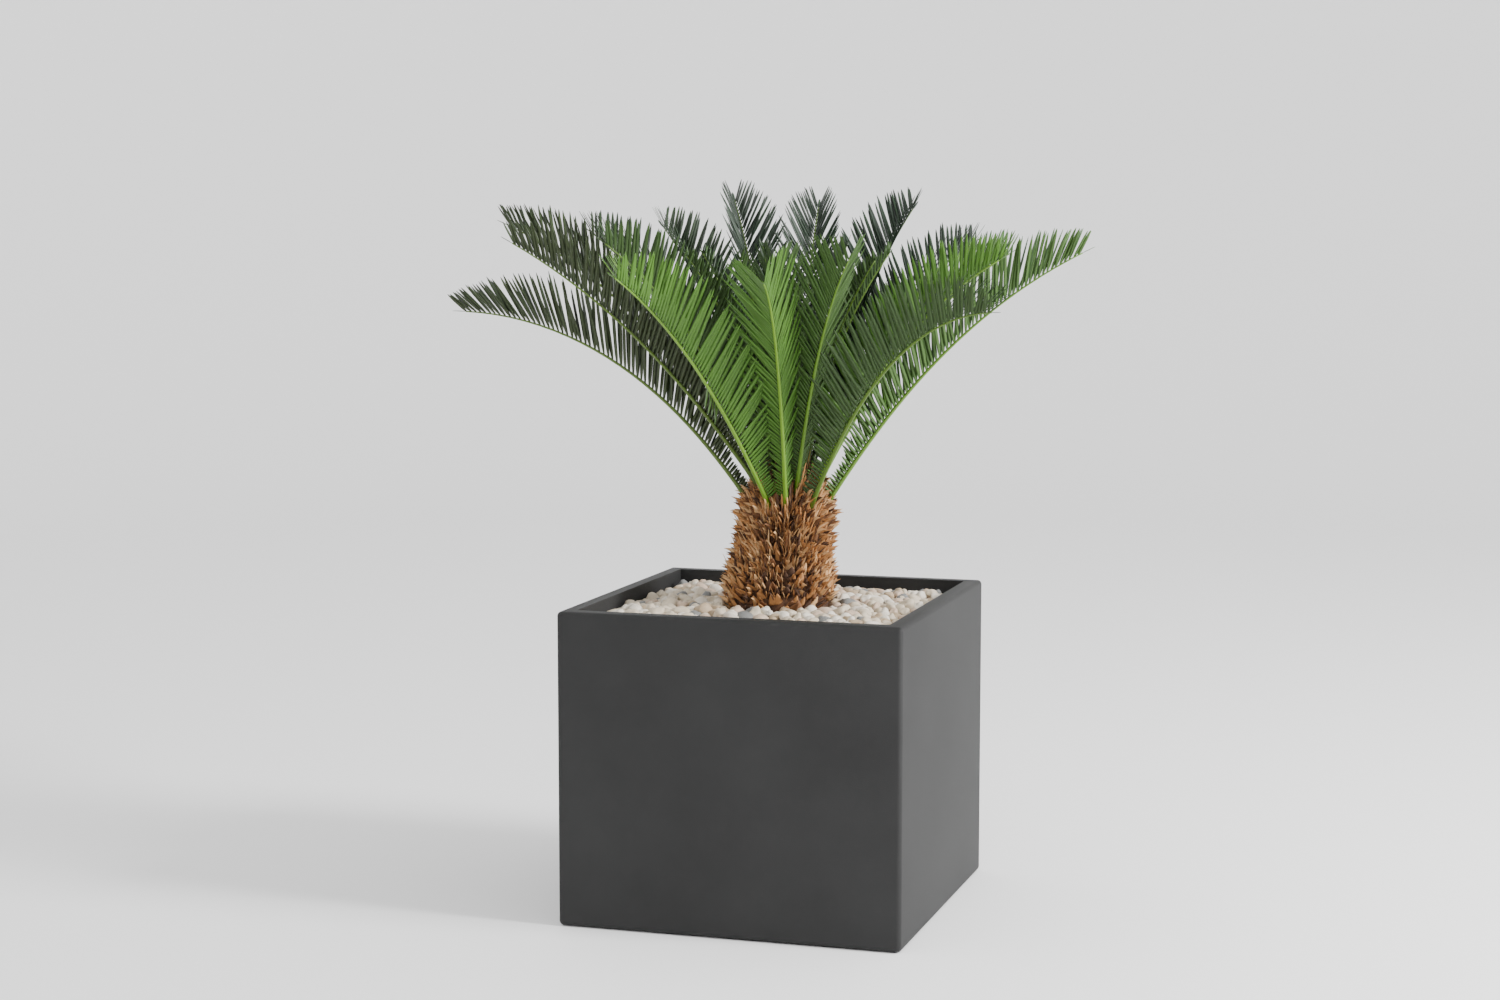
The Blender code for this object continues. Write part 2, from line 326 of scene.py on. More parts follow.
def scatter_tree(tone_count):
    """Sets a shape on each point by its heading and facing, and deals out the tones and the underside."""
    tree = bpy.data.node_groups.new(f"scatter with {tone_count} tones", "GeometryNodeTree")
    tree.interface.new_socket("Geometry", in_out="INPUT", socket_type="NodeSocketGeometry")
    tree.interface.new_socket("Geometry", in_out="OUTPUT", socket_type="NodeSocketGeometry")
    tree.interface.new_socket("Shapes", in_out="INPUT", socket_type="NodeSocketCollection")
    for name in [*(f"Tone {tone}" for tone in range(tone_count)), "Underside"]:
        tree.interface.new_socket(name, in_out="INPUT", socket_type="NodeSocketMaterial")
    nodes = tree.nodes
    links = tree.links
    given = nodes.new("NodeGroupInput")
    result = nodes.new("NodeGroupOutput")
    shapes = nodes.new("GeometryNodeCollectionInfo")
    shapes.inputs["Separate Children"].default_value = True
    shapes.inputs["Reset Children"].default_value = True
    links.new(given.outputs["Shapes"], shapes.inputs["Collection"])
    turn = nodes.new("FunctionNodeAxesToRotation")
    turn.primary_axis = "Y"
    turn.secondary_axis = "Z"
    links.new(point_attribute(tree, "heading", "FLOAT_VECTOR"), turn.inputs["Primary Axis"])
    links.new(point_attribute(tree, "facing", "FLOAT_VECTOR"), turn.inputs["Secondary Axis"])
    place = nodes.new("GeometryNodeInstanceOnPoints")
    place.inputs["Pick Instance"].default_value = True
    links.new(given.outputs["Geometry"], place.inputs["Points"])
    links.new(shapes.outputs["Instances"], place.inputs["Instance"])
    links.new(point_attribute(tree, "shape", "INT"), place.inputs["Instance Index"])
    links.new(turn.outputs["Rotation"], place.inputs["Rotation"])
    links.new(point_attribute(tree, "size", "FLOAT_VECTOR"), place.inputs["Scale"])
    realize = nodes.new("GeometryNodeRealizeInstances")
    links.new(place.outputs["Instances"], realize.inputs["Geometry"])
    latest = realize.outputs["Geometry"]
    tone_of_point = point_attribute(tree, "tone", "INT")
    choices = []
    for tone in range(tone_count):
        chosen = nodes.new("FunctionNodeCompare")
        chosen.data_type = "INT"
        chosen.operation = "EQUAL"
        first, second = (socket for socket in chosen.inputs if socket.type == "INT")
        links.new(tone_of_point, first)
        second.default_value = tone
        choices.append((f"Tone {tone}", chosen.outputs["Result"]))
    choices.append(("Underside", point_attribute(tree, "underside", "BOOLEAN")))
    for name, selection in choices:
        paint = nodes.new("GeometryNodeSetMaterial")
        links.new(latest, paint.inputs["Geometry"])
        links.new(selection, paint.inputs["Selection"])
        links.new(given.outputs[name], paint.inputs["Material"])
        latest = paint.outputs["Geometry"]
    links.new(latest, result.inputs["Geometry"])
    return tree


scatter_trees = {}
Spot = namedtuple("Spot", "place heading facing size shape tone")


def scattered(name, spots, shapes, tones, underside=None):
    """A plain mesh of the shapes on the spots, in the tones. Only leaflets have an underside of their own."""
    mesh = bpy.data.meshes.new(name)
    mesh.from_pydata([tuple(spot.place) for spot in spots], [], [])
    for label in ("heading", "facing", "size"):
        attribute = mesh.attributes.new(label, "FLOAT_VECTOR", "POINT")
        values = np.array([tuple(getattr(spot, label)) for spot in spots], np.float32)
        attribute.data.foreach_set("vector", values.ravel())
    for label in ("shape", "tone"):
        attribute = mesh.attributes.new(label, "INT", "POINT")
        attribute.data.foreach_set("value", np.array([getattr(spot, label) for spot in spots], np.int32))
    obj = in_scene(name + " spots", mesh)
    if len(tones) not in scatter_trees:
        scatter_trees[len(tones)] = scatter_tree(len(tones))
    modifier = obj.modifiers.new("scatter", "NODES")
    modifier.node_group = scatter_trees[len(tones)]
    given = {"Shapes": shapes, "Underside": underside or tones[0]}
    given.update({f"Tone {number}": tone for number, tone in enumerate(tones)})
    for item in modifier.node_group.interface.items_tree:
        if item.in_out == "INPUT" and item.name in given:
            modifier[item.identifier] = given[item.name]
    made = applied(obj, name)
    for label in ("heading", "facing", "size", "shape", "tone", "underside"):
        if label in made.data.attributes:
            made.data.attributes.remove(made.data.attributes[label])
    return made


def pebble_layer(seed, sink):
    """Spots for one loose layer, on a jittered honeycomb inside the walls and round the trunk."""
    draw = np.random.default_rng(seed)
    reach = planter_side / 2 - rim_width - seat_gap
    row_spacing = pebble_spacing * honeycomb_row
    spots = []
    rows = int(2 * reach / row_spacing) + 2
    for row in range(rows):
        for column in range(rows):
            x = -reach + (column + 0.5 * (row % 2)) * pebble_spacing + draw.normal(0, pebble_shift)
            y = -reach + row * row_spacing + draw.normal(0, pebble_shift)
            radius = pebble_radius * draw.uniform(*pebble_radius_range)
            inside = max(abs(x), abs(y)) < reach - radius * wall_clearance
            if not inside or math.hypot(x, y) < trunk_clearance:
                continue
            height = bed_top(x, y) - radius * pebble_sink - sink + draw.normal(0, pebble_rise)
            heading = Vector((draw.normal(), draw.normal(), draw.normal(0, pebble_tilt))).normalized()
            facing = Vector((draw.normal(0, pebble_tilt), draw.normal(0, pebble_tilt), 1)).normalized()
            tone = int(draw.choice(len(pebble_tones), p=pebble_tone_shares))
            shape = int(draw.integers(pebble_shape_count))
            spots.append(Spot((x, y, height), heading, facing, (radius,) * 3, shape, tone))
    return spots


pebble_tones = [
    plain_finish("cream pebble", srgb(190, 177, 156), 0.62),
    plain_finish("white pebble", srgb(206, 198, 184), 0.58),
    plain_finish("sand pebble", srgb(166, 146, 120), 0.66),
    plain_finish("pink pebble", srgb(182, 160, 140), 0.60),
    plain_finish("grey pebble", srgb(112, 112, 110), 0.60),
]
pebble_tone_shares = (0.42, 0.25, 0.17, 0.11, 0.05)
top_shapes = []
under_shapes = []
for number in range(pebble_shape_count):
    top_shapes.append(pebble_shape(f"pebble {number}", number, top_stone_subdivisions))
    under_seed = under_stone_seed + number
    under_shapes.append(pebble_shape(f"under pebble {number}", under_seed, under_stone_subdivisions))
top_stones = shape_set("top stones", top_shapes)
under_stones = shape_set("under stones", under_shapes)
top_spots = pebble_layer(seed=1, sink=0)
keep(scattered("pebbles_top", top_spots, top_stones, pebble_tones), "pebble_bed")
under_spots = pebble_layer(seed=2, sink=under_layer_sink)
keep(scattered("pebbles_under", under_spots, under_stones, pebble_tones), "pebble_bed")

# The packed bed under the loose stones is dust coloured and darkened into painted shade for the gaps between
# the stones.
pebble_dust_and_gap_shade = clouded_finish(
    "pebble dust",
    low=srgb(74, 66, 56),
    high=srgb(112, 102, 88),
    cloud_scale=70,
    grain_scale=500,
    relief=0.8,
    roughness=(0.8, 0.95),
)
bed_edit = bmesh.new()
bed_side = planter_side - 2 * (rim_width + seat_gap)
bmesh.ops.create_grid(
    bed_edit, x_segments=bed_core_squares, y_segments=bed_core_squares, size=bed_side / 2
)
for vertex in bed_edit.verts:
    vertex.co.z = bed_top(vertex.co.x, vertex.co.y) - bed_core_sink
bed_underside = bmesh.ops.extrude_face_region(bed_edit, geom=list(bed_edit.faces))
for element in bed_underside["geom"]:
    if isinstance(element, bmesh.types.BMVert):
        element.co.z = soil_top + seat_gap
bmesh.ops.recalc_face_normals(bed_edit, faces=bed_edit.faces)
keep(from_bmesh("pebble_bed_core", bed_edit, pebble_dust_and_gap_shade), "pebble_bed")

# Trunk
# A short stem wrapped in old leaf bases: broken curled stubs low down, long split tips and fibres above.
# A dark lumpy core fills it, and the leaf bases and fibres stand out of the core in staggered rows.
# The profile gives the trunk's radius at each height, leaf bases left out.
trunk_profile = (
    (soil_top + seat_gap, 0.101),
    (0.545, 0.100),
    (0.570, 0.096),
    (0.600, 0.086),
    (0.640, 0.079),
    (0.680, 0.077),
    (0.705, 0.070),
    (0.725, 0.056),
    (0.740, 0.037),
    (0.749, 0.015),
)
trunk_tip = 0.751
trunk_lean = Vector((0.016, 0.005, 0))
lean_height = 0.170
core_inset = 0.016
core_tip_gap = 0.004
core_ring_count = 56
core_sides = 72
thinnest_core = 0.006
core_lump_height = 0.008
core_lumps_round = 4
core_lumps_up = 45
smooth_below = 0.510
up = Vector((0, 0, 1))


def lean_at(height):
    return trunk_lean * max(0.0, (height - bed_top_at_trunk) / lean_height)


def trunk_radius(height):
    heights, radii = zip(*trunk_profile)
    return float(np.interp(height, heights, radii))


def outward_at(angle):
    return Vector((math.cos(angle), math.sin(angle), 0))


def loft(mesh_edit, rings):
    """Joins rings of like corners into a closed skin, and gives back its sides, ring by ring."""
    sides = []
    for near, far in zip(rings, rings[1:]):
        for index in range(len(near)):
            after = (index + 1) % len(near)
            side = mesh_edit.faces.new((near[index], near[after], far[after], far[index]))
            side.smooth = True
            sides.append((index, side))
    mesh_edit.faces.new(rings[0])
    mesh_edit.faces.new(rings[-1])
    bmesh.ops.recalc_face_normals(mesh_edit, faces=mesh_edit.faces)
    return sides


old_bark = clouded_finish(
    "old bark",
    low=srgb(44, 28, 18),
    high=srgb(96, 62, 36),
    cloud_scale=90,
    grain_scale=600,
    relief=1.0,
    roughness=(0.85, 0.98),
)
core_edit = bmesh.new()
core_rings = []
for height in np.linspace(soil_top + seat_gap, trunk_tip - core_tip_gap, core_ring_count):
    ring = []
    for step in range(core_sides):
        outward = outward_at(2 * math.pi * step / core_sides)
        radius = max(thinnest_core, trunk_radius(height) - core_inset)
        if height > smooth_below:
            spot = outward * core_lumps_round + up * (height * core_lumps_up)
            radius += core_lump_height * noise.noise(spot)
        ring.append(core_edit.verts.new(lean_at(height) + outward * radius + up * height))
    core_rings.append(ring)
loft(core_edit, core_rings)
keep(from_bmesh("trunk_core", core_edit, old_bark), "trunk")

# A section lies at its reach along the blade, lifted off its straight line and swept to one side.
Section = namedtuple("Section", "reach half_width half_thickness lift sweep")


def blade(name, sections, outline, first_under_side=None):
    """A closed blade 1 long on +Y with its top on +Z, and its underside from first_under_side on."""
    mesh_edit = bmesh.new()
    rings = []
    for section in sections:
        rings.append(
            [
                mesh_edit.verts.new(
                    (
                        section.sweep + x * section.half_width,
                        section.reach,
                        section.lift + z * section.half_thickness,
                    )
                )
                for x, z in outline
            ]
        )
    under = mesh_edit.faces.layers.bool.new("underside")
    for index, side in loft(mesh_edit, rings):
        side[under] = first_under_side is not None and index >= first_under_side
    return from_bmesh(name, mesh_edit)


def stub_shape(name, curl, aside, blunt, draw):
    """A broken leaf base that curls outwards and ends blunt, with ragged sides."""
    sections = []
    for reach in (0, 0.2, 0.4, 0.6, 0.8, 0.93, 1.0):
        pointed_part = 0.5 * (1 - reach) ** 0.6 * (1 - blunt)
        blunt_part = 0.5 * blunt * (1 - 0.55 * reach)
        thinning = 0.24 * (1 - 0.75 * reach)
        ragged = aside * reach**2 + draw.normal(0, 0.015)
        sections.append(Section(reach, pointed_part + blunt_part, thinning, curl * reach**2.2, ragged))
    return blade(name, sections, scale_outline)


def spike_shape(name, curl, aside):
    """A split leaf base that runs out in a long narrow point."""
    sections = []
    for reach in (0, 0.15, 0.35, 0.55, 0.75, 0.9, 1.0):
        half_width = 0.5 * (1 - reach) ** 0.75 + 0.03
        thinning = 0.16 * (1 - 0.8 * reach)
        bend = 0.35 * curl * reach**2
        sections.append(Section(reach, half_width, thinning, bend, 0.6 * aside * reach**2))
    return blade(name, sections, scale_outline)


scale_outline = ((-1, 0), (-0.6, 0.8), (0, 1.0), (0.6, 0.8), (1, 0), (0, -0.6))
leaf_base_shape_count = 6
stub_shapes = []
spike_shapes = []
for number in range(leaf_base_shape_count):
    draw = np.random.default_rng(40 + number)
    curl = draw.uniform(0.10, 0.42)
    aside = draw.uniform(-0.12, 0.12)
    blunt = draw.uniform(0.10, 0.34)
    stub_shapes.append(stub_shape(f"stub {number}", curl, aside, blunt, draw))
    spike_shapes.append(spike_shape(f"spike {number}", curl, aside))
leaf_bases = shape_set("leaf bases", stub_shapes + spike_shapes)
bark_tones = [
    plain_finish("tan leaf base", srgb(176, 124, 74), 0.85),
    plain_finish("brown leaf base", srgb(118, 80, 50), 0.88),
    plain_finish("pale leaf base", srgb(206, 164, 116), 0.82),
    plain_finish("dark leaf base", srgb(74, 50, 34), 0.90),
]
leaf_base_tone_shares = (0.34, 0.28, 0.16, 0.22)
fibre_tone_shares = (0.35, 0.25, 0.30, 0.10)

LeafBase = namedtuple("LeafBase", "rise length width first_shape")
stub = LeafBase(rise=(28, 68), length=(0.017, 0.030), width=(0.013, 0.021), first_shape=0)
spike = LeafBase(
    rise=(58, 84), length=(0.034, 0.060), width=(0.0045, 0.0085), first_shape=leaf_base_shape_count
)
first_row_sink = 0.008
last_row_gap = 0.012
row_rise = 0.0125
pitch_at_foot = 0.0165
pitch_narrowing = 0.008
spike_gain = 2.2
spike_start = 0.25
leaf_base_root = core_inset + 0.001
leaf_base_turn = 0.05
leaf_base_sway = 0.16
leaf_base_shift = 0.003
fewest_in_row = 6


def square_to(heading, direction):
    """The part of a direction that is square to the heading, one unit long."""
    return (direction - heading * direction.dot(heading)).normalized()


def leaf_base_spots():
    """Staggered rows up the trunk. Low leaf bases are short and broken, high ones long and split."""
    draw = np.random.default_rng(7)
    spots = []
    height = bed_top_at_trunk - first_row_sink
    row = 0
    while height < trunk_tip - last_row_gap:
        radius = trunk_radius(height)
        climb = (height - bed_top_at_trunk) / (trunk_tip - bed_top_at_trunk)
        pitch = pitch_at_foot - pitch_narrowing * climb
        count = max(fewest_in_row, int(2 * math.pi * radius / pitch))
        for step in range(count):
            angle = 2 * math.pi * (step + 0.5 * (row % 2)) / count
            outward = outward_at(angle + draw.normal(0, leaf_base_turn))
            kind = spike if draw.random() < climb * spike_gain - spike_start else stub
            rise = math.radians(draw.uniform(*kind.rise))
            aside = outward.cross(up) * draw.normal(0, leaf_base_sway)
            heading = (outward * math.cos(rise) + up * math.sin(rise) + aside).normalized()
            length = draw.uniform(*kind.length)
            width = draw.uniform(*kind.width)
            foot = lean_at(height) + outward * (radius - leaf_base_root) + up * height
            foot.z += draw.normal(0, leaf_base_shift)
            shape = int(draw.integers(leaf_base_shape_count)) + kind.first_shape
            tone = int(draw.choice(len(bark_tones), p=leaf_base_tone_shares))
            size = (width, length, width)
            spots.append(Spot(foot, heading, square_to(heading, outward), size, shape, tone))
        height += row_rise
        row += 1
    return spots


keep(scattered("trunk_leaf_bases", leaf_base_spots(), leaf_bases, bark_tones), "trunk")

fibre_outline = ((-1, 0), (0, 1), (1, 0), (0, -1))
fibre_shapes = []
for number, (bend, twist) in enumerate(((0.10, 0.05), (0.25, -0.10), (-0.05, 0.12), (0.40, 0.0))):
    sections = [
        Section(reach, 0.5 * (1 - reach**2) + 0.04, 0.3 * (1 - reach), bend * reach**2, twist * reach**2)
        for reach in (0, 0.3, 0.6, 0.85, 1.0)
    ]
    fibre_shapes.append(blade(f"fibre {number}", sections, fibre_outline))
fibres = shape_set("fibres", fibre_shapes)
fibre_count = 2400
fibre_climb_spread = (2.0, 1.5)
fibre_tip_gap = 0.010
fibre_root = 0.010
fibre_rise = (30, 88)
fibre_length = (0.014, 0.024)
fibre_extra_length = 0.022
fibre_width = (0.0009, 0.0022)
fibre_sway = 0.25


def fibre_spots():
    """Loose fibres that stand out between the leaf bases, more and longer near the crown."""
    draw = np.random.default_rng(8)
    spots = []
    for _ in range(fibre_count):
        climb = draw.beta(*fibre_climb_spread)
        height = bed_top_at_trunk + climb * (trunk_tip - fibre_tip_gap - bed_top_at_trunk)
        outward = outward_at(draw.uniform(0, 2 * math.pi))
        rise = math.radians(draw.uniform(*fibre_rise))
        aside = outward.cross(up) * draw.normal(0, fibre_sway)
        heading = (outward * math.cos(rise) + up * math.sin(rise) + aside).normalized()
        length = draw.uniform(*fibre_length) + fibre_extra_length * climb * draw.random()
        width = draw.uniform(*fibre_width)
        foot = lean_at(height) + outward * (trunk_radius(height) - fibre_root) + up * height
        tone = int(draw.choice(len(bark_tones), p=fibre_tone_shares))
        shape = int(draw.integers(len(fibre_shapes)))
        size = (width, length, length)
        spots.append(Spot(foot, heading, square_to(heading, outward), size, shape, tone))
    return spots


keep(scattered("trunk_fibres", fibre_spots(), fibres, bark_tones), "trunk")

# Crown bud
# The woolly point in the middle of the crown, where the next fronds form.
# It is a tight cone of felted scales in rows, which stand steeper and sit closer in towards its top.
bud_radius = 0.022
bud_height = 0.085
bud_sink = 0.012
bud_rows = 9
bud_root_share = 0.62
scales_round_foot = 13
scales_lost_to_top = 0.7
fewest_scales = 3
bud_scale_width = 0.008
bud_scale_length = 0.030
bud_scale_shortening = 0.006
bud_scale_lean = 0.34
bud_lean_lost_to_top = 0.30
bud_tones = [
    plain_finish("bud wool", srgb(168, 122, 74), 0.95),
    plain_finish("bud wool in shade", srgb(120, 84, 50), 0.95),
]
bud_centre = lean_at(trunk_tip) + up * (trunk_tip - bud_sink)
bud_spots = []
draw = np.random.default_rng(9)
for row in range(bud_rows):
    share = row / bud_rows
    row_radius = bud_radius * bud_root_share * math.sqrt(1 - share**2)
    count = max(fewest_scales, int(scales_round_foot * (1 - scales_lost_to_top * share)))
    for step in range(count):
        outward = outward_at(2 * math.pi * (step + 0.5 * (row % 2)) / count)
        heading = (outward * (bud_scale_lean - bud_lean_lost_to_top * share) + up).normalized()
        foot = bud_centre + outward * row_radius + up * (share * bud_height * bud_root_share)
        size = (bud_scale_width, bud_scale_length - bud_scale_shortening * share, bud_scale_width)
        tone = int(draw.integers(len(bud_tones)))
        shape = spike.first_shape + int(draw.integers(leaf_base_shape_count))
        bud_spots.append(Spot(foot, heading, square_to(heading, outward), size, shape, tone))
keep(scattered("crown_bud_scales", bud_spots, leaf_bases, bud_tones), "crown_bud")

# Fronds
# Each is a stiff rib with two rows of narrow leaflets that stand up from it in a keeled V.
# The rib is a tapered tube, and the leaflets are thin blades set along it, shorter at its foot and tip.
# Places along a rib are shares of its length, from 0 at its foot to 1 at its tip, and angles are degrees.
crown_centre = Vector((0.018, 0.006, 0))
droop_power = 1.5
stalk_share = 0.09
bare_share = 0.036
longest_from = 0.33
growth_power = 0.8
shorter_from = 0.65
tip_shortening = 0.62
upward_pull = 0.15
leaflet_angles = ((stalk_share, 85), (0.35, 62), (0.70, 55), (1.00, 38))
keel_fold = 40
angle_scatter = 3.0
fold_scatter = 3.5
leaflet_roll = (-0.25, 0.12)
leaflet_foot_aside = 0.7
leaflet_foot_up = 0.3
rib_steps = 48
rib_foot_radius = 0.0040
rib_tip_radius = 0.0011
rib_foot_swelling = 0.3
rib_swollen_share = 0.06
leaflet_width = 0.0070
width_of_shortest = 0.55
shortest_leaflet = 0.024
leaflet_length_spread = (0.93, 1.05)
leaflet_width_spread = (0.9, 1.1)
tip_leaflet_width = 0.7
tip_leaflet_reach = 0.2
closest_pairs = 0.0060
widest_pairs = 0.0086
pairs_widen_until = 0.4
pair_spacing_spread = (0.92, 1.08)
withered_length = 0.55
withered_back = 0.8
withered_down = 0.9

# A tier says where its fronds leave the crown, and how far their longest leaflets reach.
# A frond points along its azimuth, leaves the crown at its rise and has lost its droop at the tip.
# Its roll turns the V about the rib, and between its two withered shares the leaflets of one side hang dead.
Tier = namedtuple("Tier", "name foot_radius foot_height reach")
outer = Tier("outer", 0.066, 0.700, 0.118)
middle = Tier("middle", 0.048, 0.722, 0.114)
inner = Tier("inner", 0.026, 0.738, 0.050)
Frond = namedtuple("Frond", "azimuth rise droop length tint roll withered", defaults=(0, None))
# A frond's tint paints light and shade into its colour. The lightest greens go to the fronds at the front and
# right, where the key light falls. Olive goes to the fronds on the left and deep and blue to those at the
# back, as painted shade. So the crown looks darker from behind than it would under even light.
outer_fronds = (
    Frond(5, 57, 31, 0.630, "fresh"),
    Frond(85, 52, 36, 0.570, "deep"),
    Frond(110, 50, 36, 0.570, "deep"),
    Frond(135, 52, 36, 0.580, "deep"),
    Frond(200, 55, 53, 0.620, "olive"),
    Frond(257, 50, 26, 0.640, "bright", withered=(0.40, 0.47)),
    Frond(282, 62, 52, 0.620, "bright", roll=18),
    Frond(321, 57, 55, 0.630, "mid"),
)
middle_fronds = (
    Frond(30, 62, 32, 0.550, "fresh"),
    Frond(51, 62, 30, 0.560, "blue"),
    Frond(71, 65, 26, 0.605, "blue"),
    Frond(98, 67, 26, 0.595, "blue"),
    Frond(122, 67, 26, 0.610, "blue"),
    Frond(144, 65, 28, 0.570, "deep"),
    Frond(165, 62, 30, 0.590, "deep"),
    Frond(186, 59, 35, 0.660, "olive"),
    Frond(217, 54, 25, 0.628, "olive"),
    Frond(241, 62, 32, 0.580, "mid"),
    Frond(282, 75, 34, 0.460, "mid"),
    Frond(301, 65, 36, 0.540, "fresh"),
    Frond(342, 61, 34, 0.560, "bright"),
)
inner_fronds = (
    Frond(30, 79, 26, 0.430, "mid"),
    Frond(71, 80, 26, 0.440, "deep"),
    Frond(122, 80, 26, 0.440, "deep"),
    Frond(165, 79, 26, 0.430, "mid"),
    Frond(217, 78, 26, 0.430, "mid"),
    Frond(257, 80, 26, 0.420, "mid"),
    Frond(342, 79, 26, 0.420, "mid"),
)

Shades = namedtuple("Shades", "leaflet lighter darker underside")
# Each tint mixes a frond's own green with painted light and shade: lighter for fronds under the key light,
# darker and bluer for fronds in shade. Its upper tones, its underside and its rib all carry it.
tints_with_light_and_shade = {
    "bright": Shades(srgb(64, 112, 6), srgb(90, 138, 10), srgb(36, 74, 6), srgb(60, 102, 8)),
    "fresh": Shades(srgb(46, 90, 8), srgb(66, 112, 12), srgb(26, 58, 6), srgb(50, 82, 18)),
    "mid": Shades(srgb(28, 58, 8), srgb(42, 76, 12), srgb(16, 38, 6), srgb(42, 68, 18)),
    "deep": Shades(srgb(18, 44, 8), srgb(28, 54, 12), srgb(12, 30, 8), srgb(30, 50, 16)),
    "blue": Shades(srgb(12, 36, 14), srgb(20, 46, 20), srgb(8, 26, 12), srgb(22, 42, 20)),
    "olive": Shades(srgb(30, 46, 10), srgb(42, 58, 16), srgb(20, 32, 8), srgb(40, 52, 18)),
}
tone_shares = (0.55, 0.25, 0.20)
rib_yellow = srgb(92, 120, 26)
withered_finish = plain_finish("withered leaflet", srgb(150, 116, 38), 0.7)
lighter_tone = 1
withered_tone = 3
upper_finishes = {}
underside_finishes = {}
rib_finishes = {}
for tint, shades in tints_with_light_and_shade.items():
    upper_finishes[tint] = [
        plain_finish(f"{tint} leaflet", shades.leaflet, 0.42),
        plain_finish(f"{tint} lighter leaflet", shades.lighter, 0.40),
        plain_finish(f"{tint} darker leaflet", shades.darker, 0.45),
        withered_finish,
    ]
    underside_finishes[tint] = plain_finish(f"{tint} leaflet underside", shades.underside, 0.60)
    rib_colour = tuple(0.5 * (a + b) for a, b in zip(shades.lighter, rib_yellow))
    rib_finishes[tint] = plain_finish(f"{tint} rib", rib_colour, 0.5)

leaflet_outline = ((-1, -0.25), (0, 0.9), (1, -0.25), (0, -0.1))
leaflet_widths = (
    (0, 0.30), (0.04, 0.62), (0.15, 0.95), (0.35, 1.0), (0.60, 0.96), (0.80, 0.78), (0.93, 0.45), (1.0, 0.06)
)
leaflet_shapes = []
for number, (lift, sweep) in enumerate(((0.03, 0.0), (0.07, 0.02), (-0.03, -0.01), (0.10, 0.03))):
    sections = [
        Section(reach, 0.5 * width, 0.11 * width + 0.02, lift * reach**2, sweep * reach**2)
        for reach, width in leaflet_widths
    ]
    leaflet_shapes.append(blade(f"leaflet {number}", sections, leaflet_outline, first_under_side=2))
leaflets = shape_set("leaflets", leaflet_shapes)


def leaflet_length(share, tier):
    grown = min(1, max(0, (share - stalk_share) / (longest_from - stalk_share)))
    passed = max(0, (share - shorter_from) / (1 - shorter_from))
    full = tier.reach * grown**growth_power * (1 - tip_shortening * passed**2)
    return max(shortest_leaflet, full)


def leaflet_angle(share):
    shares, angles = zip(*leaflet_angles)
    return math.radians(float(np.interp(share, shares, angles)))


def rib_radius(share):
    return rib_foot_radius + (rib_tip_radius - rib_foot_radius) * share


def rachis(frond, tier):
    """Points and headings along the rachis, which leaves the crown at its rise and bends down ever faster."""
    outward = outward_at(math.radians(frond.azimuth))
    point = crown_centre + outward * tier.foot_radius + up * tier.foot_height
    track = []
    for step in range(rib_steps + 1):
        climb = math.radians(frond.rise - frond.droop * (step / rib_steps) ** droop_power)
        along = outward * math.cos(climb) + up * math.sin(climb)
        track.append((point.copy(), along))
        point += along * (frond.length / rib_steps)
    return track, outward


def station(track, share):
    """The point and the heading at a share of the rachis, between those of its track."""
    before = min(int(share * rib_steps), rib_steps - 1)
    part = share * rib_steps - before
    point = track[before][0].lerp(track[before + 1][0], part)
    along = track[before][1].lerp(track[before + 1][1], part).normalized()
    return point, along


def leaflet_spots(frond, tier, seed):
    """Pairs of leaflets up the rachis, closest at its foot, with one more leaflet at its tip."""
    draw = np.random.default_rng(seed)
    track, outward = rachis(frond, tier)
    spots = []
    share = bare_share
    while share < 1:
        point, along = station(track, share)
        for side in (-1, 1):
            across = side * outward.cross(up)
            keel_up = side * across.cross(along)
            angle = leaflet_angle(share) + math.radians(draw.normal(0, angle_scatter))
            fold = math.radians(keel_fold + side * frond.roll + draw.normal(0, fold_scatter))
            spread = keel_up * math.cos(fold) + across * math.sin(fold)
            heading = (along * math.cos(angle) + spread * math.sin(angle) + up * upward_pull).normalized()
            inward = keel_up * math.sin(fold) - across * math.cos(fold)
            facing = square_to(heading, inward + along * draw.normal(*leaflet_roll))
            length = leaflet_length(share, tier) * draw.uniform(*leaflet_length_spread)
            fullness = width_of_shortest + (1 - width_of_shortest) * min(1, length / tier.reach)
            width = leaflet_width * fullness * draw.uniform(*leaflet_width_spread)
            root = across * leaflet_foot_aside + keel_up * leaflet_foot_up
            foot = point + root * rib_radius(share)
            tone = int(draw.choice(len(tone_shares), p=tone_shares))
            if frond.withered and side == 1 and frond.withered[0] < share < frond.withered[1]:
                tone = withered_tone
                heading = (heading - withered_back * along - withered_down * up).normalized()
                facing = square_to(heading, facing)
                length *= withered_length
            shape = int(draw.integers(len(leaflet_shapes)))
            spots.append(Spot(foot, heading, facing, (width, length, width), shape, tone))
        widening = min(1, share / pairs_widen_until)
        spacing = closest_pairs + (widest_pairs - closest_pairs) * widening
        share += spacing / frond.length * draw.uniform(*pair_spacing_spread)
    tip, along = station(track, 1.0)
    keel_up = outward.cross(up).cross(along)
    size = (leaflet_width * tip_leaflet_width, tier.reach * tip_leaflet_reach, leaflet_width)
    spots.append(Spot(tip, along, keel_up, size, shape=0, tone=lighter_tone))
    return spots


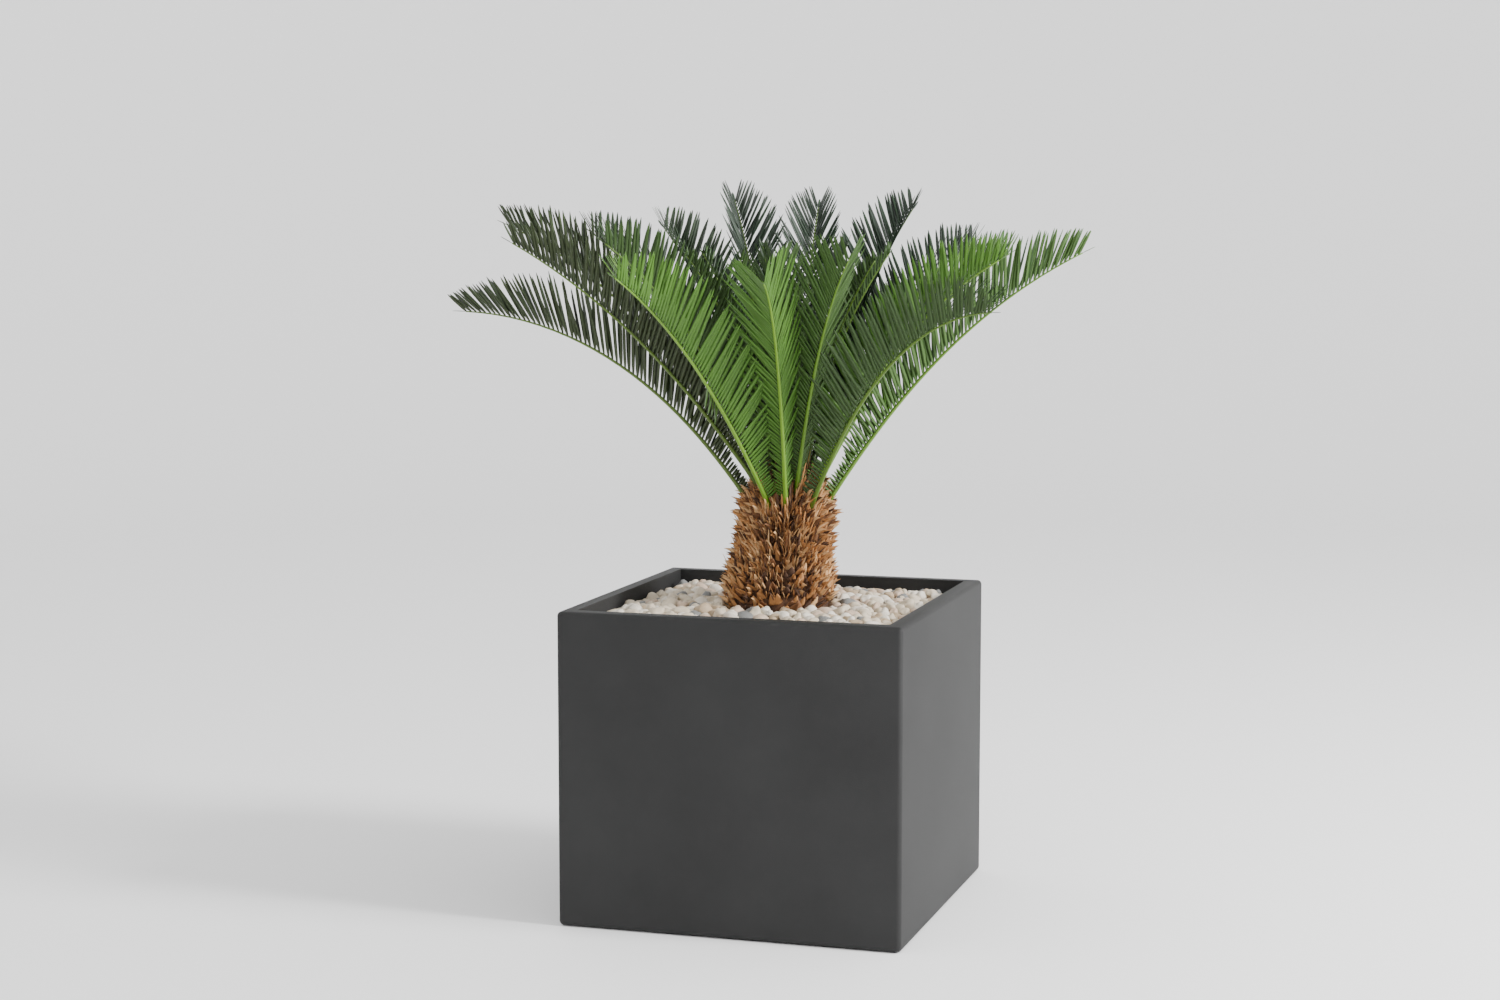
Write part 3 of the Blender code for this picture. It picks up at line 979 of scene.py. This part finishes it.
def rib(name, frond, tier):
    """The stiff midrib, from inside the crown to the tip, as a tapered tube."""
    track, _ = rachis(frond, tier)
    curve = bpy.data.curves.new(name, "CURVE")
    curve.dimensions = "3D"
    curve.bevel_depth = 1
    curve.bevel_resolution = 2
    curve.use_fill_caps = True
    spline = curve.splines.new("POLY")
    places = [point for point, _ in track[::2]]
    spline.points.add(len(places) - 1)
    for number, place in enumerate(places):
        share = number / (len(places) - 1)
        swelling = 1 + rib_foot_swelling * max(0, 1 - share / rib_swollen_share)
        spline.points[number].co = (*place, 1)
        spline.points[number].radius = swelling * rib_radius(share)
    made = applied(in_scene(name + " curve", curve), name)
    tube = bmesh.new()
    tube.from_mesh(made.data)
    bmesh.ops.remove_doubles(tube, verts=tube.verts, dist=0.00001)
    bmesh.ops.recalc_face_normals(tube, faces=tube.faces)
    for face in tube.faces:
        face.smooth = True
    tube.to_mesh(made.data)
    tube.free()
    made.data.materials.append(rib_finishes[frond.tint])
    return made


for tier, fronds in ((outer, outer_fronds), (middle, middle_fronds), (inner, inner_fronds)):
    for number, frond in enumerate(fronds, start=1):
        node = f"{tier.name}_frond_{number:02d}"
        blades = scattered(
            f"{node}_leaflets",
            leaflet_spots(frond, tier, seed=1000 + frond.azimuth + 7 * frond.rise),
            leaflets,
            upper_finishes[frond.tint],
            underside_finishes[frond.tint],
        )
        keep(blades, node)
        keep(rib(f"{node}_rib", frond, tier), node)

# Studio
# A wide pale floor that curves up all round into a plain backdrop.
# The light is soft: a key on the right, a weak fill in front, and white all round.
floor_radius = 9.0
sweep_radius = 3.0
sweep_steps = 12
wall_height = 6.0
floor_drop = 0.001
outline = [(0, -floor_drop), (floor_radius - sweep_radius, -floor_drop)]
for step in range(1, sweep_steps + 1):
    turn = math.pi / 2 * step / sweep_steps
    out = floor_radius - sweep_radius + sweep_radius * math.sin(turn)
    outline.append((out, sweep_radius * (1 - math.cos(turn))))
outline.append((floor_radius, wall_height))
sweep = bmesh.new()
profile = [sweep.verts.new((x, 0, z)) for x, z in outline]
edges = [sweep.edges.new(pair) for pair in zip(profile, profile[1:])]
bmesh.ops.spin(sweep, geom=profile + edges, axis=(0, 0, 1), cent=(0, 0, 0), steps=96, angle=2 * math.pi)
bmesh.ops.remove_doubles(sweep, verts=sweep.verts, dist=0.0001)
bmesh.ops.recalc_face_normals(sweep, faces=sweep.faces)
for face in sweep.faces:
    face.smooth = True
from_bmesh("backdrop", sweep, plain_finish("pale paper", srgb(246, 246, 246), 0.9))


def soft_light(name, place, target, size, power):
    light_data = bpy.data.lights.new(name, "AREA")
    light_data.shape = "DISK"
    light_data.size = size
    light_data.energy = power
    light = in_scene(name, light_data)
    light.location = place
    light.rotation_euler = (Vector(target) - Vector(place)).to_track_quat("-Z", "Y").to_euler()


soft_light("key", place=(5.0, -0.4, 3.0), target=(0, 0, 0.7), size=1.6, power=620)
soft_light("fill", place=(0.6, -5.4, 3.4), target=(0, 0, 0.8), size=3.0, power=40)
world = bpy.data.worlds.new("studio")
world.use_nodes = True
world.node_tree.nodes["Background"].inputs["Color"].default_value = (1, 1, 1, 1)
world.node_tree.nodes["Background"].inputs["Strength"].default_value = 1.25
bpy.context.scene.world = world
